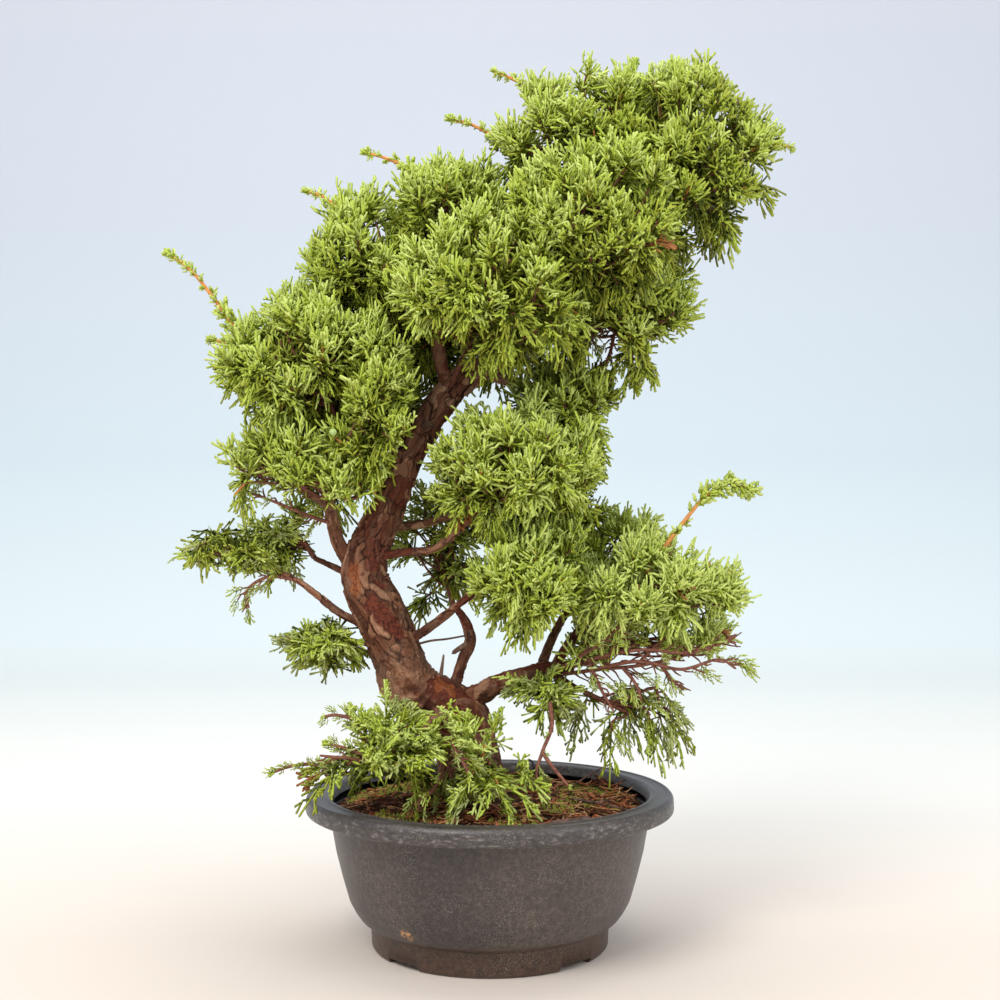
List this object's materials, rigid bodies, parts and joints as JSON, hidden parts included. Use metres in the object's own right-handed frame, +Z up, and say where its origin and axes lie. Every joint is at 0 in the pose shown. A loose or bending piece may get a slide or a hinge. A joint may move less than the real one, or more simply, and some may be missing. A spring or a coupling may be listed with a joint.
{
  "type": "juniper bonsai in a pot",
  "caption": "Leaning informal upright juniper bonsai with layered pads of scale foliage, standing in a round, lipped plastic training pot.",
  "frame": {"origin": "centre of the pot's flat underside", "axes": "+Z up along the pot's axis; +X to the right in the picture, the way the crown leans; +Y away from the camera"},
  "size_m": [0.4284, 0.25, 0.6143],
  "materials": {
    "pot": "dusty matt black plastic",
    "soil": "damp granular soil with moss",
    "bark": "flaking red-brown bark",
    "foliage": "satin green scale leaves"
  },
  "bodies": {
    "root": {"base_left": "foliage", "base_right": "foliage", "bough_crown_east": "bark", "bough_crown_left": "bark", "bough_crown_west": "bark", "bough_left_back": "bark", "bough_left_low": "bark", "bough_left_mid": "bark", "bough_left_rear": "bark", "bough_left_rise": "bark", "bough_low_east": "bark", "bough_mid_back": "bark", "bough_mid_front": "bark", "bough_pendant": "bark", "bough_right_inner": "bark", "bough_right_low": "bark", "bough_right_rear": "bark", "bough_right_shoot": "bark", "bough_top_mid": "bark", "bough_twisted": "bark", "crown_back": "foliage", "crown_back_east": "foliage", "crown_centre": "foliage", "crown_east": "foliage", "crown_front": "foliage", "crown_low_east": "foliage", "crown_top": "foliage", "crown_top_left": "foliage", "crown_top_mid": "foliage", "crown_west": "foliage", "inner_back": "foliage", "left_back": "foliage", "left_inner": "foliage", "left_mid": "foliage", "left_rear": "foliage", "left_tip": "foliage", "left_top": "foliage", "mid_back": "foliage", "mid_front": "foliage", "mid_low": "foliage", "pendant": "foliage", "pot": "pot", "right_back": "foliage", "right_high": "foliage", "right_low": "foliage", "right_under": "foliage", "snag": "bark", "soil": "soil", "trunk": "bark", "under_left": "foliage"}
  },
  "joints": []
}
